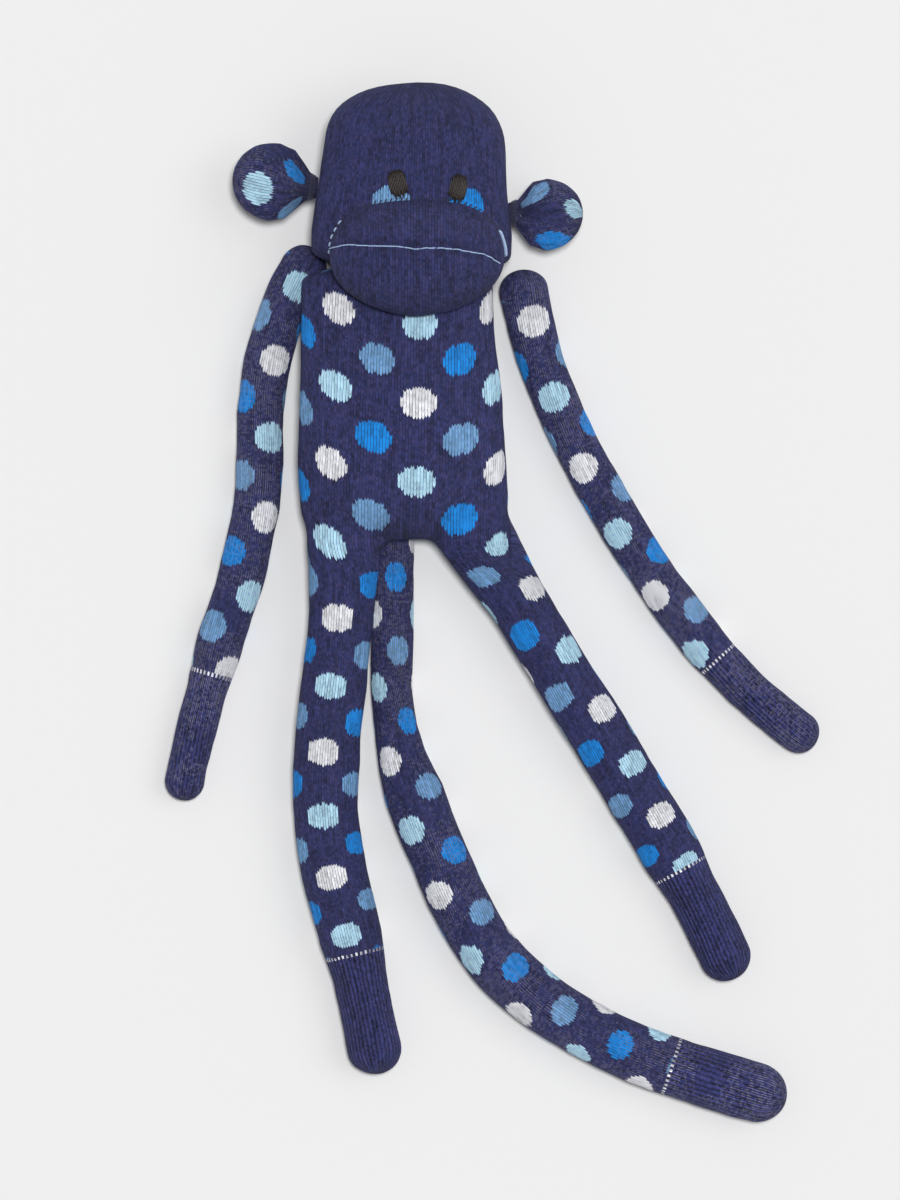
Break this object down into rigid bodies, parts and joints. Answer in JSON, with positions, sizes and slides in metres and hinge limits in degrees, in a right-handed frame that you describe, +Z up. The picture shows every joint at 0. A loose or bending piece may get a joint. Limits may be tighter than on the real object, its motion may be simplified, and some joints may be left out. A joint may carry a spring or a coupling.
{
  "type": "sock monkey soft toy",
  "caption": "Stuffed knit sock monkey lying on its back, with a round muzzle, stitched mouth, embroidered eyes, gathered ears, long arms and legs and a long curling tail",
  "frame": {"origin": "under the middle of the toy's bounding box, on the surface it lies on", "axes": "+X the toy's own left, +Y from its feet to its crown, +Z up from its back to its face"},
  "size_m": [0.3276, 0.5192, 0.0861],
  "materials": {
    "sock_knit": "matte",
    "stuffing": "matte",
    "eye_thread": "satin",
    "pale_thread": "satin",
    "navy_thread": "satin"
  },
  "bodies": {
    "torso": {"torso_skin": "sock_knit", "torso_stuffing": "stuffing", "neck_thread": "navy_thread", "tail_root_skin": "sock_knit", "tail_root_stuffing": "stuffing"},
    "head": {"head_skin": "sock_knit", "head_stuffing": "stuffing", "muzzle_skin": "sock_knit", "muzzle_stuffing": "stuffing", "muzzle_seam_thread": "navy_thread", "mouth_stitch": "pale_thread", "eye_right": "eye_thread", "eye_left": "eye_thread"},
    "ear_right": {"ear_right_skin": "sock_knit", "ear_right_stuffing": "stuffing", "ear_right_thread": "navy_thread"},
    "ear_left": {"ear_left_skin": "sock_knit", "ear_left_stuffing": "stuffing", "ear_left_thread": "navy_thread"},
    "upper_arm_right": {"upper_arm_right_skin": "sock_knit", "upper_arm_right_stuffing": "stuffing"},
    "forearm_right": {"forearm_right_skin": "sock_knit", "forearm_right_stuffing": "stuffing"},
    "upper_arm_left": {"upper_arm_left_skin": "sock_knit", "upper_arm_left_stuffing": "stuffing"},
    "forearm_left": {"forearm_left_skin": "sock_knit", "forearm_left_stuffing": "stuffing"},
    "thigh_right": {"thigh_right_skin": "sock_knit", "thigh_right_stuffing": "stuffing"},
    "shin_right": {"shin_right_skin": "sock_knit", "shin_right_stuffing": "stuffing"},
    "thigh_left": {"thigh_left_skin": "sock_knit", "thigh_left_stuffing": "stuffing"},
    "shin_left": {"shin_left_skin": "sock_knit", "shin_left_stuffing": "stuffing"},
    "tail_middle": {"tail_middle_skin": "sock_knit", "tail_middle_stuffing": "stuffing"},
    "tail_tip": {"tail_tip_skin": "sock_knit", "tail_tip_stuffing": "stuffing"}
  },
  "joints": [
    {"name": "head_nod", "type": "hinge", "parent": "torso", "child": "head", "pos_m": [-0.04758, 0.14163, 0.0535], "axis": [1, 0, 0], "range_deg": [0, 20]},
    {"name": "ear_flap_right", "type": "hinge", "parent": "head", "child": "ear_right", "pos_m": [-0.08759, 0.20709, 0.0295], "axis": [0.1392, 0.9903, 0], "range_deg": [0, 60]},
    {"name": "ear_flap_left", "type": "hinge", "parent": "head", "child": "ear_left", "pos_m": [0.00757, 0.1946, 0.0295], "axis": [-0.0349, -0.9994, 0], "range_deg": [0, 60]},
    {"name": "shoulder_right", "type": "hinge", "parent": "torso", "child": "upper_arm_right", "pos_m": [-0.09486, 0.16688, 0.01], "axis": [0, 0, -1], "range_deg": [0, 75]},
    {"name": "elbow_right", "type": "hinge", "parent": "upper_arm_right", "child": "forearm_right", "pos_m": [-0.11959, 0.04279, 0.01517], "axis": [-0.9883, 0.1525, 0], "range_deg": [0, 80]},
    {"name": "shoulder_left", "type": "hinge", "parent": "torso", "child": "upper_arm_left", "pos_m": [0.01569, 0.15515, 0.01], "axis": [0, 0, 1], "range_deg": [0, 75]},
    {"name": "elbow_left", "type": "hinge", "parent": "upper_arm_left", "child": "forearm_left", "pos_m": [0.06502, 0.03795, 0.01446], "axis": [-0.8511, -0.5251, 0], "range_deg": [0, 80]},
    {"name": "hip_right", "type": "hinge", "parent": "torso", "child": "thigh_right", "pos_m": [-0.07475, 0.01463, 0.03133], "axis": [-1, 0, 0], "range_deg": [0, 90]},
    {"name": "knee_right", "type": "hinge", "parent": "thigh_right", "child": "shin_right", "pos_m": [-0.0825, -0.11291, 0.02173], "axis": [-0.9953, -0.0969, 0], "range_deg": [0, 60]},
    {"name": "hip_left", "type": "hinge", "parent": "torso", "child": "thigh_left", "pos_m": [0.00337, 0.01463, 0.03015], "axis": [-1, 0, 0], "range_deg": [0, 90]},
    {"name": "knee_left", "type": "hinge", "parent": "thigh_left", "child": "shin_left", "pos_m": [0.06958, -0.09198, 0.01988], "axis": [-0.8544, -0.5197, 0], "range_deg": [0, 60]},
    {"name": "tail_lift", "type": "hinge", "parent": "torso", "child": "tail_middle", "pos_m": [-0.04673, -0.07107, 0.01487], "axis": [-0.9769, -0.2136, 0], "range_deg": [0, 60]},
    {"name": "tail_curl", "type": "hinge", "parent": "tail_middle", "child": "tail_tip", "pos_m": [0.01137, -0.1891, 0.01945], "axis": [-0.6872, -0.7265, 0], "range_deg": [0, 60]}
  ]
}
